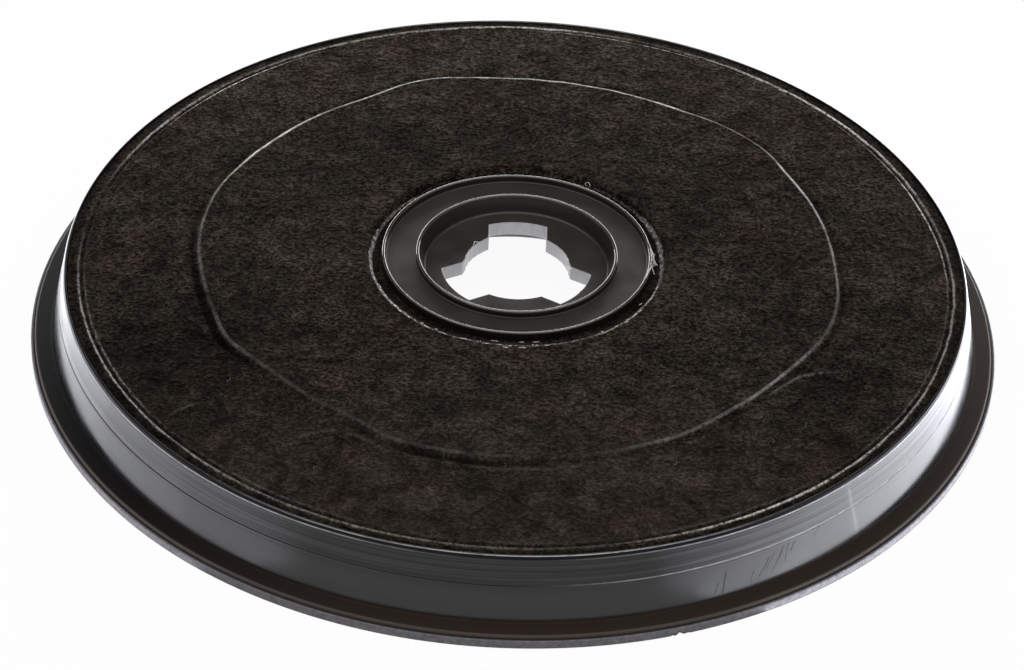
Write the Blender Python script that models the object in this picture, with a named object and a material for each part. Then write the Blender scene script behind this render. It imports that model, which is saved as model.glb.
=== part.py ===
"""Round twist-on carbon filter for a cooker hood, in metres with +Z up.

The filter lies on its wide side: the flange and the grille are underneath and the felt face looks up.
Five pieces go together on the bench in this order: the base grille with its bayonet hub, the outer
ring that seats in the base's rim, the lower felt, the bed of carbon granules and the upper felt,
which is welded to the ring's ledge and to the hub's ledge.
The origin is on the hub's axis, at the height of the surface that the filter rests on.
"""

import math

import bmesh
import bpy

MM = 0.001

# Whole filter
BASE_RADIUS = 120.0 * MM
RING_TOP = 19.85 * MM
HUB_TOP = 22.95 * MM
SEAT_GAP = 0.3 * MM
ROUND_STEPS = 72
SHARP_ANGLE = math.radians(32)

# How far back from a corner the middle of a rounded edge lies, as a share of the rounding
ROUND_SHARE = 1 - math.sqrt(0.5)

# Base rim: a low outer edge, and inside it the rebate that the ring's flange drops into
RIM_HEIGHT = 2.2 * MM
RIM_WIDTH = 0.8 * MM
RIM_EDGE = 0.25 * MM
REBATE_FLOOR = 1.0 * MM

# Base floor: raised off the table between the rim's foot and the hub's foot
FLOOR_LIFT = 0.8 * MM
FLOOR_THICKNESS = 2.0 * MM

# Grille windows: rows between ring bars, parted by 12 ribs near the hub and 24 farther out
GRILLE_HUB_MARGIN = 5.2 * MM
GRILLE_RIM_MARGIN = 7.2 * MM
GRILLE_ROWS = 6
RING_BAR_WIDTH = 2.4 * MM
RIB_WIDTH = 2.6 * MM
INNER_RIBS = 12
OUTER_RIBS = 24
ROWS_WITH_INNER_RIBS = 2

# Hub: a tube that carries the ledge, two beads with a sunk band between, and the bayonet plate
TUBE_RADIUS = 38.3 * MM
TUBE_WALL = 2.0 * MM
TUBE_DRAFT = 0.4 * MM
HUB_LEDGE_DROP = 2.65 * MM
OUTER_BEAD_RADIUS = 32.6 * MM
INNER_BEAD_RADIUS = 24.2 * MM
BEAD_WIDTH = 1.6 * MM
BEAD_CROWN = 0.6 * MM
BEAD_SHOULDER = math.radians(45)
BAND_DROP = 1.7 * MM
HUB_SKIN = 2.0 * MM
PLATE_DROP = 4.5 * MM
PLATE_THICKNESS = 3.8 * MM
CUP_DRAFT = 0.6 * MM

# Bayonet hole: a round hole with three parallel-sided slots for the motor's lugs. The plate is spun
# a little past the hole's edge, and the cutter opens the rest.
BAYONET_RADIUS = 13.6 * MM
LUG_REACH = 18.5 * MM
LUG_WIDTH = 14.4 * MM
LUG_COUNT = 3
FIRST_LUG_ANGLE = math.radians(90)
LAND_STEPS = 7
LUG_STEPS = 8
PILOT_MARGIN = 3.0 * MM

# Outer ring: a flange, a wall that leans in towards the top, a thin lip and a ledge inside it
FLANGE_WIDTH = 4.2 * MM
WALL_LEAN = 3.35 * MM
RING_WALL = 2.0 * MM
FLANGE_TOP = 3.06 * MM
FLANGE_ROUNDING = 0.4 * MM
FOOT_FILLET = 0.5 * MM
WITNESS_HEIGHT = 14.2 * MM
WITNESS_STEP = 0.15 * MM
LIP_WIDTH = 0.7 * MM
LIP_ROUNDING = 0.3 * MM
LEDGE_DEPTH = 2.65 * MM
LEDGE_WIDTH = 5.35 * MM
LEDGE_THICKNESS = 2.0 * MM
LEDGE_EDGE = 0.3 * MM

# Felts and carbon
LOWER_FELT_THICKNESS = 1.5 * MM
UPPER_FELT_THICKNESS = 2.2 * MM
DOME_RISE = 3.4 * MM
WELD_INSET = 3.3 * MM
WELD_WIDTH = 1.4 * MM
WELD_DEPTH = 0.8 * MM
FELT_MARGIN_DROP = 0.45 * MM
HUB_WELD_WIDTH = 2.8 * MM
HUB_WELD_THICKNESS = 0.9 * MM

# Crease ring, placed as a share of the way from the hub's tube to the ring's ledge. The felt inside it
# stands higher, and the shares say how much of that rise is left behind the crease and at its reach.
CREASE_SHARE = 0.612
CREASE_REACH_SHARE = 0.69
CREASE_WIDTH = 1.6 * MM
PLATEAU_RISE = 0.6 * MM
PLATEAU_BACK_SHARE = 0.85
PLATEAU_INNER_SHARE = 0.2

# How far the crease ring strays from its circle: waves round the ring, amplitude and first crest.
# The grip is how soon the strayed part takes the whole shift.
WANDER_GRIP = 1.3
CREASE_WAVES = (
    (1, 1.5 * MM, math.radians(120)),
    (3, 1.3 * MM, math.radians(98)),
    (5, 0.6 * MM, math.radians(60)),
)

FLOOR_TOP = FLOOR_LIFT + FLOOR_THICKNESS
HUB_LEDGE = HUB_TOP - HUB_LEDGE_DROP
PLATE_TOP = HUB_TOP - PLATE_DROP
PLATE_BOTTOM = PLATE_TOP - PLATE_THICKNESS
BAND_TOP = HUB_TOP - BAND_DROP
RING_BOTTOM = REBATE_FLOOR + SEAT_GAP
RING_LEDGE = RING_TOP - LEDGE_DEPTH
LEDGE_UNDERSIDE = RING_LEDGE - LEDGE_THICKNESS
FLANGE_RADIUS = BASE_RADIUS - RIM_WIDTH - SEAT_GAP
RING_FOOT_RADIUS = FLANGE_RADIUS - FLANGE_WIDTH
RING_TOP_RADIUS = RING_FOOT_RADIUS - WALL_LEAN
LIP_INNER_RADIUS = RING_TOP_RADIUS - LIP_WIDTH
LEDGE_INNER_RADIUS = LIP_INNER_RADIUS - LEDGE_WIDTH
WELD_RADIUS = RING_TOP_RADIUS - WELD_INSET
GRILLE_INNER_RADIUS = TUBE_RADIUS + GRILLE_HUB_MARGIN
GRILLE_OUTER_RADIUS = RING_FOOT_RADIUS - GRILLE_RIM_MARGIN
CREASE_RADIUS = TUBE_RADIUS + CREASE_SHARE * (LEDGE_INNER_RADIUS - TUBE_RADIUS)
CREASE_REACH = CREASE_REACH_SHARE * (LEDGE_INNER_RADIUS - CREASE_RADIUS)
LOWER_FELT_TOP = FLOOR_TOP + SEAT_GAP + LOWER_FELT_THICKNESS


def clear_scene():
    for old in list(bpy.data.objects):
        bpy.data.objects.remove(old, do_unlink=True)


def make_material(name, colour, roughness, metallic=0.0):
    material = bpy.data.materials.new(name)
    material.use_nodes = True
    shader = material.node_tree.nodes["Principled BSDF"]
    shader.inputs["Base Color"].default_value = (*colour, 1.0)
    shader.inputs["Roughness"].default_value = roughness
    shader.inputs["Metallic"].default_value = metallic
    material.diffuse_color = (*colour, 1.0)
    return material


def add_object(name, mesh_builder, material):
    """Turns a bmesh into a named object with its own material, facing outwards."""
    bmesh.ops.recalc_face_normals(mesh_builder, faces=mesh_builder.faces)
    mesh = bpy.data.meshes.new(name)
    mesh_builder.to_mesh(mesh)
    mesh_builder.free()
    mesh.shade_smooth()
    mesh.set_sharp_from_angle(angle=SHARP_ANGLE)
    piece = bpy.data.objects.new(name, mesh)
    bpy.context.collection.objects.link(piece)
    if material:
        mesh.materials.append(material)
    return piece


def revolve(profile):
    """Spins a closed outline of (radius, height) points once round the Z axis."""
    builder = bmesh.new()
    corners = [builder.verts.new((radius, 0.0, height)) for radius, height in profile]
    edges = [builder.edges.new((corners[i - 1], corners[i])) for i in range(len(corners))]
    bmesh.ops.spin(
        builder,
        geom=corners + edges,
        cent=(0, 0, 0),
        axis=(0, 0, 1),
        angle=math.tau,
        steps=ROUND_STEPS,
        use_merge=True,
    )
    bmesh.ops.remove_doubles(builder, verts=builder.verts, dist=0.001 * MM)
    return builder


def add_prism(builder, outline, bottom, top):
    """Adds an upright prism over a flat outline of (x, y) points."""
    low = [builder.verts.new((x, y, bottom)) for x, y in outline]
    face = builder.faces.new(low)
    lifted = bmesh.ops.extrude_face_region(builder, geom=[face])
    raised = [item for item in lifted["geom"] if isinstance(item, bmesh.types.BMVert)]
    bmesh.ops.translate(builder, verts=raised, vec=(0, 0, top - bottom))


def add_cut(target, name, builder):
    """Cuts a hidden cutter out of the target with an exact boolean."""
    cutter = add_object(name, builder, None)
    cutter.hide_render = True
    cutter.display_type = "WIRE"
    cut = target.modifiers.new(name, "BOOLEAN")
    cut.operation = "DIFFERENCE"
    cut.solver = "EXACT"
    cut.object = cutter
    return cutter


def polar(radius, angle):
    return radius * math.cos(angle), radius * math.sin(angle)


def ring_outer_radius(height):
    """Radius of the ring's outer wall below the witness line, which leans in towards the top."""
    slope = (RING_FOOT_RADIUS - RING_TOP_RADIUS - WITNESS_STEP) / (RING_TOP - FLANGE_TOP)
    return RING_FOOT_RADIUS - slope * (height - FLANGE_TOP)


def ring_inner_radius(height):
    return ring_outer_radius(height) - RING_WALL


def tube_outer_radius(height):
    """Radius of the hub tube's outer wall, which widens a little towards its foot."""
    return TUBE_RADIUS + TUBE_DRAFT * (HUB_LEDGE - height) / HUB_LEDGE


def bead(crest_radius, outer_foot, inner_foot):
    """Outline over a hub bead, from the outer foot height over the crown to the inner foot height."""
    half = BEAD_WIDTH / 2
    shoulder = half * math.cos(BEAD_SHOULDER)
    shoulder_top = HUB_TOP - BEAD_CROWN * (1 - math.sin(BEAD_SHOULDER))
    return [
        (crest_radius + half, outer_foot),
        (crest_radius + half, HUB_TOP - BEAD_CROWN),
        (crest_radius + shoulder, shoulder_top),
        (crest_radius, HUB_TOP),
        (crest_radius - shoulder, shoulder_top),
        (crest_radius - half, HUB_TOP - BEAD_CROWN),
        (crest_radius - half, inner_foot),
    ]


def base_profile():
    """Section of the base from its outer foot over the rim, the floor and the hub, and back below."""
    spigot_low = ring_inner_radius(RING_BOTTOM) - SEAT_GAP
    spigot_high = ring_inner_radius(FLOOR_TOP) - SEAT_GAP
    tube_foot = tube_outer_radius(FLOOR_TOP)
    plate_edge = INNER_BEAD_RADIUS - BEAD_WIDTH / 2 - CUP_DRAFT
    pilot_radius = BAYONET_RADIUS - PILOT_MARGIN
    boss_radius = INNER_BEAD_RADIUS + BEAD_WIDTH / 2
    outline = [
        (BASE_RADIUS - RIM_EDGE, 0.0),
        (BASE_RADIUS, RIM_EDGE),
        (BASE_RADIUS, RIM_HEIGHT - RIM_EDGE),
        (BASE_RADIUS - RIM_EDGE, RIM_HEIGHT),
        (BASE_RADIUS - RIM_WIDTH, RIM_HEIGHT),
        (BASE_RADIUS - RIM_WIDTH, REBATE_FLOOR),
        (spigot_low, REBATE_FLOOR),
        (spigot_high, FLOOR_TOP),
        (tube_foot + FOOT_FILLET, FLOOR_TOP),
        (tube_outer_radius(FLOOR_TOP + FOOT_FILLET), FLOOR_TOP + FOOT_FILLET),
        (TUBE_RADIUS, HUB_LEDGE - RIM_EDGE),
        (TUBE_RADIUS - RIM_EDGE, HUB_LEDGE),
    ]
    outline += bead(OUTER_BEAD_RADIUS, HUB_LEDGE, BAND_TOP)
    outline += bead(INNER_BEAD_RADIUS, BAND_TOP, HUB_TOP - BEAD_CROWN - FOOT_FILLET)
    outline += [
        (plate_edge, PLATE_TOP + FOOT_FILLET),
        (plate_edge - FOOT_FILLET, PLATE_TOP),
        (pilot_radius, PLATE_TOP),
        (pilot_radius, PLATE_BOTTOM),
        (boss_radius - RIM_EDGE, PLATE_BOTTOM),
        (boss_radius, PLATE_BOTTOM + RIM_EDGE),
        (boss_radius, BAND_TOP - HUB_SKIN),
        (OUTER_BEAD_RADIUS - HUB_SKIN / 2, BAND_TOP - HUB_SKIN),
        (OUTER_BEAD_RADIUS - HUB_SKIN / 2, HUB_LEDGE - HUB_SKIN),
        (TUBE_RADIUS - TUBE_WALL, HUB_LEDGE - HUB_SKIN),
        (tube_outer_radius(0.0) - TUBE_WALL, 0.0),
        (tube_outer_radius(0.0), 0.0),
        (tube_outer_radius(0.0) + FLOOR_LIFT, FLOOR_LIFT),
        (spigot_low - FLOOR_LIFT, FLOOR_LIFT),
        (spigot_low, 0.0),
    ]
    return outline


def grille_window(inner, outer, first_rib, spacing):
    """Outline of one window between two ribs with parallel sides, its arcs on the base's own steps."""
    def edge_angle(radius):
        return math.asin(RIB_WIDTH / 2 / radius)

    step = math.tau / ROUND_STEPS
    count = round(spacing / step)
    inside = [first_rib + step * k for k in range(1, count)]
    last_rib = first_rib + spacing
    outline = [polar(inner, first_rib + edge_angle(inner))]
    outline += [polar(inner, angle) for angle in inside]
    outline += [polar(inner, last_rib - edge_angle(inner))]
    outline += [polar(outer, last_rib - edge_angle(outer))]
    outline += [polar(outer, angle) for angle in reversed(inside)]
    outline += [polar(outer, first_rib + edge_angle(outer))]
    return outline


def grille_cutter():
    """All the grille's windows as one cutter."""
    builder = bmesh.new()
    pitch = (GRILLE_OUTER_RADIUS - GRILLE_INNER_RADIUS + RING_BAR_WIDTH) / GRILLE_ROWS
    for row in range(GRILLE_ROWS):
        inner = GRILLE_INNER_RADIUS + row * pitch
        outer = inner + pitch - RING_BAR_WIDTH
        ribs = INNER_RIBS if row < ROWS_WITH_INNER_RIBS else OUTER_RIBS
        spacing = math.tau / ribs
        for k in range(ribs):
            outline = grille_window(inner, outer, k * spacing, spacing)
            add_prism(builder, outline, -FLOOR_LIFT, FLOOR_TOP + FLOOR_LIFT)
    return builder


def bayonet_cutter():
    """Prism of the bayonet hole: lands on the small radius and flat-sided slots out to the large one."""
    land_edge = math.asin(LUG_WIDTH / 2 / BAYONET_RADIUS)
    lug_edge = math.asin(LUG_WIDTH / 2 / LUG_REACH)
    spacing = math.tau / LUG_COUNT
    outline = []
    for k in range(LUG_COUNT):
        middle = FIRST_LUG_ANGLE + k * spacing
        for i in range(LUG_STEPS + 1):
            angle = middle - lug_edge + 2 * lug_edge * i / LUG_STEPS
            outline.append(polar(LUG_REACH, angle))
        for i in range(LAND_STEPS + 1):
            angle = middle + land_edge + (spacing - 2 * land_edge) * i / LAND_STEPS
            outline.append(polar(BAYONET_RADIUS, angle))
    builder = bmesh.new()
    add_prism(builder, outline, PLATE_BOTTOM - PLATE_THICKNESS, PLATE_TOP + PLATE_THICKNESS)
    return builder


def build_base_grille():
    plastic = make_material("base_plastic", (0.012, 0.012, 0.013), 0.38)
    base = add_object("base_grille", revolve(base_profile()), plastic)
    add_cut(base, "bayonet_cutter", bayonet_cutter())
    add_cut(base, "window_cutter", grille_cutter())
    weld = base.modifiers.new("weld_slivers", "WELD")
    weld.merge_threshold = 0.01 * MM
    return base


def ring_profile():
    """Section of the ring from its bottom out along the flange, up the wall, over the lip and back."""
    witness_radius = ring_outer_radius(WITNESS_HEIGHT)
    flange_round = FLANGE_ROUNDING * ROUND_SHARE
    foot_round = FOOT_FILLET * ROUND_SHARE
    return [
        (ring_inner_radius(RING_BOTTOM), RING_BOTTOM),
        (FLANGE_RADIUS, RING_BOTTOM),
        (FLANGE_RADIUS, FLANGE_TOP - FLANGE_ROUNDING),
        (FLANGE_RADIUS - flange_round, FLANGE_TOP - flange_round),
        (FLANGE_RADIUS - FLANGE_ROUNDING, FLANGE_TOP),
        (RING_FOOT_RADIUS + FOOT_FILLET, FLANGE_TOP),
        (RING_FOOT_RADIUS + foot_round, FLANGE_TOP + foot_round),
        (ring_outer_radius(FLANGE_TOP + FOOT_FILLET), FLANGE_TOP + FOOT_FILLET),
        (witness_radius, WITNESS_HEIGHT),
        (witness_radius - WITNESS_STEP, WITNESS_HEIGHT + WITNESS_STEP),
        (RING_TOP_RADIUS, RING_TOP - LIP_ROUNDING),
        (RING_TOP_RADIUS - LIP_ROUNDING, RING_TOP),
        (LIP_INNER_RADIUS, RING_TOP),
        (LIP_INNER_RADIUS, RING_LEDGE),
        (LEDGE_INNER_RADIUS + LEDGE_EDGE, RING_LEDGE),
        (LEDGE_INNER_RADIUS, RING_LEDGE - LEDGE_EDGE),
        (LEDGE_INNER_RADIUS, LEDGE_UNDERSIDE),
        (ring_inner_radius(LEDGE_UNDERSIDE) - FOOT_FILLET, LEDGE_UNDERSIDE),
        (ring_inner_radius(LEDGE_UNDERSIDE - FOOT_FILLET), LEDGE_UNDERSIDE - FOOT_FILLET),
    ]


def build_outer_ring():
    plastic = make_material("ring_plastic", (0.013, 0.013, 0.014), 0.3)
    return add_object("outer_ring", revolve(ring_profile()), plastic)


def build_lower_felt():
    """Plain felt disc on the grille that keeps the granules in."""
    felt = make_material("lower_felt_fibre", (0.012, 0.011, 0.01), 0.95)
    bottom = FLOOR_TOP + SEAT_GAP
    outer = ring_inner_radius(LOWER_FELT_TOP) - SEAT_GAP
    inner = tube_outer_radius(FLOOR_TOP) + FOOT_FILLET + SEAT_GAP
    outline = [(inner, bottom), (outer, bottom), (outer, LOWER_FELT_TOP), (inner, LOWER_FELT_TOP)]
    return add_object("lower_felt", revolve(outline), felt)


def dome_height(radius):
    """Height of the upper felt's face without its crease and welds: a shallow dome up to the hub."""
    return RING_TOP + DOME_RISE * (1 - (radius / RING_TOP_RADIUS) ** 2)


def crease_stations():
    """Radii across the crease ring, with the height that the raised middle adds at each."""
    half = CREASE_WIDTH / 2
    return [
        (CREASE_RADIUS + CREASE_REACH, 0.0),
        (CREASE_RADIUS + half, 0.0),
        (CREASE_RADIUS - half, PLATEAU_RISE),
        (CREASE_RADIUS - half - CREASE_WIDTH, PLATEAU_RISE * PLATEAU_BACK_SHARE),
        (CREASE_RADIUS - CREASE_REACH, PLATEAU_RISE * PLATEAU_INNER_SHARE),
    ]


def wander(builder, crest):
    """Shifts vertices near the crease radius in or out, so that the ring is an uneven loop."""
    for vertex in builder.verts:
        radius = math.hypot(vertex.co.x, vertex.co.y)
        nearness = max(0.0, 1 - abs(radius - CREASE_RADIUS) / CREASE_REACH)
        if vertex.co.z < crest or nearness == 0.0:
            continue
        angle = math.atan2(vertex.co.y, vertex.co.x)
        shift = sum(size * math.cos(waves * (angle - first)) for waves, size, first in CREASE_WAVES)
        factor = 1 + shift * min(1.0, WANDER_GRIP * nearness) / radius
        vertex.co.x *= factor
        vertex.co.y *= factor


def felt_face(lower=0.0):
    """Points across the open part of the felt's face, from the ring's ledge to the hub's ledge."""
    stations = [(LEDGE_INNER_RADIUS - SEAT_GAP, 0.0)]
    stations += crease_stations()
    stations += [(TUBE_RADIUS + SEAT_GAP + UPPER_FELT_THICKNESS, 0.0)]
    return [(radius, dome_height(radius) + rise - lower) for radius, rise in stations]


def build_upper_felt():
    """Felt cover, with the heat-sealed groove near its rim and the pressed margin at the hub."""
    felt = make_material("upper_felt_fibre", (0.014, 0.012, 0.011), 0.92)
    rim_radius = LIP_INNER_RADIUS - SEAT_GAP
    margin_top = RING_TOP - FELT_MARGIN_DROP
    hub_edge = OUTER_BEAD_RADIUS + BEAD_WIDTH / 2 + SEAT_GAP
    hub_floor = HUB_LEDGE + SEAT_GAP
    half = WELD_WIDTH / 2
    seam_top = dome_height(WELD_RADIUS - half)
    outline = [
        (rim_radius, RING_LEDGE + SEAT_GAP),
        (rim_radius, margin_top - SEAT_GAP),
        (rim_radius - SEAT_GAP, margin_top),
        (WELD_RADIUS + half, margin_top + SEAT_GAP / 2),
        (WELD_RADIUS + half / 3, seam_top - WELD_DEPTH),
        (WELD_RADIUS - half / 3, seam_top - WELD_DEPTH),
        (WELD_RADIUS - half, seam_top),
    ]
    outline += felt_face()
    outline += [
        (hub_edge + HUB_WELD_WIDTH + SEAT_GAP, dome_height(hub_edge + HUB_WELD_WIDTH)),
        (hub_edge + HUB_WELD_WIDTH, hub_floor + HUB_WELD_THICKNESS + SEAT_GAP),
        (hub_edge, hub_floor + HUB_WELD_THICKNESS),
        (hub_edge, hub_floor),
        (TUBE_RADIUS + SEAT_GAP, hub_floor),
    ]
    outline += reversed(felt_face(lower=UPPER_FELT_THICKNESS))
    builder = revolve(outline)
    wander(builder, RING_LEDGE + SEAT_GAP / 2)
    return add_object("upper_felt", builder, felt)


def build_carbon_bed():
    """Granules as one solid that fills the space between the felts, the ring and the hub's tube."""
    carbon = make_material("carbon_granules", (0.006, 0.006, 0.006), 0.8)
    bottom = LOWER_FELT_TOP + SEAT_GAP
    below_ledge = LEDGE_UNDERSIDE - SEAT_GAP
    outline = [
        (tube_outer_radius(bottom) + SEAT_GAP, bottom),
        (ring_inner_radius(bottom) - SEAT_GAP, bottom),
        (ring_inner_radius(below_ledge - FOOT_FILLET) - SEAT_GAP, below_ledge - FOOT_FILLET),
        (ring_inner_radius(below_ledge) - FOOT_FILLET - SEAT_GAP, below_ledge),
        (LEDGE_INNER_RADIUS - SEAT_GAP, below_ledge),
    ]
    outline += felt_face(lower=UPPER_FELT_THICKNESS + SEAT_GAP)
    outline += [(TUBE_RADIUS + SEAT_GAP, HUB_LEDGE)]
    builder = revolve(outline)
    wander(builder, RING_LEDGE)
    return add_object("carbon_bed", builder, carbon)


clear_scene()
build_base_grille()
build_outer_ring()
build_lower_felt()
build_carbon_bed()
build_upper_felt()
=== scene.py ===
import math

import bpy
import numpy as np
from mathutils import Matrix, Vector, noise


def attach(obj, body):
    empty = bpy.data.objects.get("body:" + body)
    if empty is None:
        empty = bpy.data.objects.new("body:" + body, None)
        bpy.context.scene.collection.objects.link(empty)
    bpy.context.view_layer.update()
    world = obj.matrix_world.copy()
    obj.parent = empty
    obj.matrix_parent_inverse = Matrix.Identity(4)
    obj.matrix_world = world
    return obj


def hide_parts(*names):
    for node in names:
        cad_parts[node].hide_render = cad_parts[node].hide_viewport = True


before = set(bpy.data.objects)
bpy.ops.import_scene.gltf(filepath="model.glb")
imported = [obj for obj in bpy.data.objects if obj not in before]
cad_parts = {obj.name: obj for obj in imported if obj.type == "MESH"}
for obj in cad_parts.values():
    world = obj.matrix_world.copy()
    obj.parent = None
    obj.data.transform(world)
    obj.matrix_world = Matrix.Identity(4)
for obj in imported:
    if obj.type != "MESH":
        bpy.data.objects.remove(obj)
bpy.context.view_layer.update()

# Base moulding: one injection-moulded piece of black polypropylene. It has the low rim, the grille floor,
# the hub tube with two raised beads and the sunk bayonet plate that twists onto the motor's boss.
MM = 0.001
MOULD_STEPS = 240
BASE_RADIUS = 120
FLOOR_UNDER = 0.8
FLOOR_TOP = 2.8
HUB_TOP = 22.95
PLATE_TOP = 18.45
PLATE_BOTTOM = 14.65
BEAD_CROWN = 0.6
OUTER_BEAD = (32.95, 0.45)
INNER_BEAD = (24.5, 0.5)
GRILLE_INNER = 43.5
GRILLE_OUTER = 107.5
GRILLE_ROWS = 6
RING_BAR = 2.4
RIB = 2.6
WINDOW_EDGE = 0.25
HOLE_EDGE = 0.18
HOLE_RADIUS = 13.6
LUG_REACH = 18.5
LUG_WIDTH = 14.4
LUG_MIDDLES = (90, 210, 330)
# How far torn flash stands into the hole along one of its lands, in mm
LAND_FLASH = (0, 0.15, 0.3, 0.25, 0.35, 0.3, 0.45, 0.4, 0.6, 0.5, 0.75, 0.6, 0.2)
# A torn nick in the rim's lower edge on the near side: how deep it is in mm, and where in degrees
NICK = [
    (-1, 288.3), (0, 288.6), (0.45, 288.9), (0, 289.2), (0.9, 289.8), (0.1, 290.2), (0.35, 290.7), (0, 291.0),
    (-1, 291.3),
]


def polar(radius, degrees, height):
    """The point in mm at that distance from the axis, that angle from +X and that height."""
    angle = math.radians(degrees)
    return (radius * math.cos(angle), radius * math.sin(angle), height)


def draw_loop(name, points):
    """Draws a closed line in mm: one vertex, extruded from point to point and back to the first."""
    bpy.ops.object.select_all(action="DESELECT")
    bpy.ops.mesh.primitive_plane_add(size=MM)
    piece = bpy.context.object
    piece.name = name
    bpy.ops.object.mode_set(mode="EDIT")
    bpy.ops.mesh.select_mode(type="VERT")
    bpy.ops.mesh.merge(type="CENTER")
    bpy.ops.transform.translate(value=[c * MM for c in points[0]])
    for here, there in zip(points, points[1:] + points[:1]):
        step = [(b - a) * MM for a, b in zip(here, there)]
        bpy.ops.mesh.extrude_vertices_move(TRANSFORM_OT_translate={"value": step})
    bpy.ops.mesh.select_all(action="SELECT")
    bpy.ops.mesh.remove_doubles(threshold=0.001 * MM)
    bpy.ops.object.mode_set(mode="OBJECT")
    return piece


def pick(piece, parts, test):
    """Goes into edit mode with only those vertices, edges or faces selected that pass the test."""
    kinds = {"vertices": "VERT", "edges": "EDGE", "polygons": "FACE"}
    bpy.ops.object.select_all(action="DESELECT")
    piece.select_set(True)
    bpy.context.view_layer.objects.active = piece
    bpy.ops.object.mode_set(mode="EDIT")
    bpy.ops.mesh.select_mode(type=kinds[parts])
    bpy.ops.mesh.select_all(action="DESELECT")
    bpy.ops.object.mode_set(mode="OBJECT")
    chosen = [bool(test(part)) for part in getattr(piece.data, parts)]
    getattr(piece.data, parts).foreach_set("select", chosen)
    bpy.ops.object.mode_set(mode="EDIT")


def finish_drawing():
    """Joins what was drawn, turns its faces outward and leaves edit mode."""
    bpy.ops.mesh.select_all(action="SELECT")
    bpy.ops.mesh.remove_doubles(threshold=0.001 * MM)
    bpy.ops.mesh.normals_make_consistent(inside=False)
    bpy.ops.object.mode_set(mode="OBJECT")


def turn_section(name, section, steps):
    """Draws a section of (radius, height, rounding) corners, rounds them and spins it round the axis."""
    piece = draw_loop(name, [(radius, 0, height) for radius, height, _ in section])
    for rounding in sorted({corner[2] for corner in section if corner[2]}):
        places = [Vector((r * MM, 0, z * MM)) for r, z, own in section if own == rounding]
        pick(piece, "vertices", lambda v: any((v.co - place).length < 0.001 * MM for place in places))
        bpy.ops.mesh.bevel(offset=rounding * MM, segments=4, affect="VERTICES")
        bpy.ops.object.mode_set(mode="OBJECT")
    pick(piece, "edges", lambda edge: True)
    bpy.ops.mesh.spin(steps=steps, angle=math.tau, center=(0, 0, 0), axis=(0, 0, 1))
    finish_drawing()
    return piece


def cut_out(piece, cutter):
    """Cuts a closed shape out of a piece, and throws the cutter away."""
    cut = piece.modifiers.new("cut", "BOOLEAN")
    cut.operation = "DIFFERENCE"
    cut.solver = "EXACT"
    cut.object = cutter
    bpy.context.view_layer.objects.active = piece
    bpy.ops.object.modifier_apply(modifier=cut.name)
    bpy.data.objects.remove(cutter, do_unlink=True)


def cut_upright(piece, line, height):
    """Cuts straight up through a piece: the foot line of the cut and its height in mm."""
    cutter = draw_loop("cutter", line)
    pick(cutter, "edges", lambda edge: True)
    bpy.ops.mesh.edge_face_add()
    bpy.ops.mesh.extrude_region_move(TRANSFORM_OT_translate={"value": (0, 0, height * MM)})
    finish_drawing()
    cut_out(piece, cutter)


def crown(crest, half):
    """Corners over a bead's half-round crown, from its outer side to its inner side."""
    arc = [math.radians(k * 180 / 12) for k in range(13)]
    foot = HUB_TOP - BEAD_CROWN
    return [(crest + half * math.cos(a), foot + BEAD_CROWN * math.sin(a), 0) for a in arc]


base_section = [
    (BASE_RADIUS, 0, 0.25), (BASE_RADIUS, 2.2, 0.3), (119.2, 2.2, 0.15), (119.2, 1.0, 0), (112.735, 1.0, 0),
    (112.45, FLOOR_TOP, 0.3), (38.645, FLOOR_TOP, 0.5), (38.3, 20.3, 0.25), (33.4, 20.3, 0.15),
]
base_section += crown(*OUTER_BEAD)
base_section += [(32.3, 21.25, 0.3), (25.0, 21.25, 0.3)]
base_section += crown(*INNER_BEAD)
base_section += [
    (22.8, PLATE_TOP, 0.6), (10.6, PLATE_TOP, 0), (10.6, PLATE_BOTTOM, 0), (25.0, PLATE_BOTTOM, 0.3),
    (25.0, 19.25, 0.3), (31.6, 19.25, 0), (31.6, 18.3, 0.3), (36.3, 18.3, 0.5), (36.69, 1.25, 0.2),
    (37.95, 0, 0.15), (38.7, 0, 0.25), (39.5, FLOOR_UNDER, 0.3), (111.935, FLOOR_UNDER, 0.3),
    (112.735, 0, 0.25),
]
base_moulding = turn_section("base_moulding", base_section, MOULD_STEPS)

# Six rings of windows. One window of each is drawn, copied round and cut out of the floor.
row_pitch = (GRILLE_OUTER - GRILLE_INNER + RING_BAR) / GRILLE_ROWS
for row in range(GRILLE_ROWS):
    inner = GRILLE_INNER + row * row_pitch
    outer = inner + row_pitch - RING_BAR
    ribs = 12 if row < 2 else 24
    spacing = math.tau / ribs
    window = draw_loop("window", [(inner, 0, -2), (outer, 0, -2), (outer, 0, 5), (inner, 0, 5)])
    pick(window, "edges", lambda edge: True)
    bpy.ops.mesh.spin(steps=MOULD_STEPS // ribs, angle=-spacing, center=(0, 0, 0), axis=(0, 0, 1))
    for angle, side in ((0, 1), (spacing, -1)):
        across = Vector((-math.sin(angle), math.cos(angle), 0))
        bpy.ops.mesh.select_all(action="SELECT")
        bpy.ops.mesh.bisect(
            plane_co=across * side * RIB / 2 * MM,
            plane_no=across,
            use_fill=True,
            clear_inner=side > 0,
            clear_outer=side < 0,
        )
    bpy.ops.mesh.select_all(action="SELECT")
    bpy.ops.mesh.normals_make_consistent(inside=False)
    bpy.ops.mesh.spin(
        steps=ribs - 1, dupli=True, angle=-spacing * (ribs - 1), center=(0, 0, 0), axis=(0, 0, 1)
    )
    bpy.ops.object.mode_set(mode="OBJECT")
    cut_out(base_moulding, window)

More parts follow.
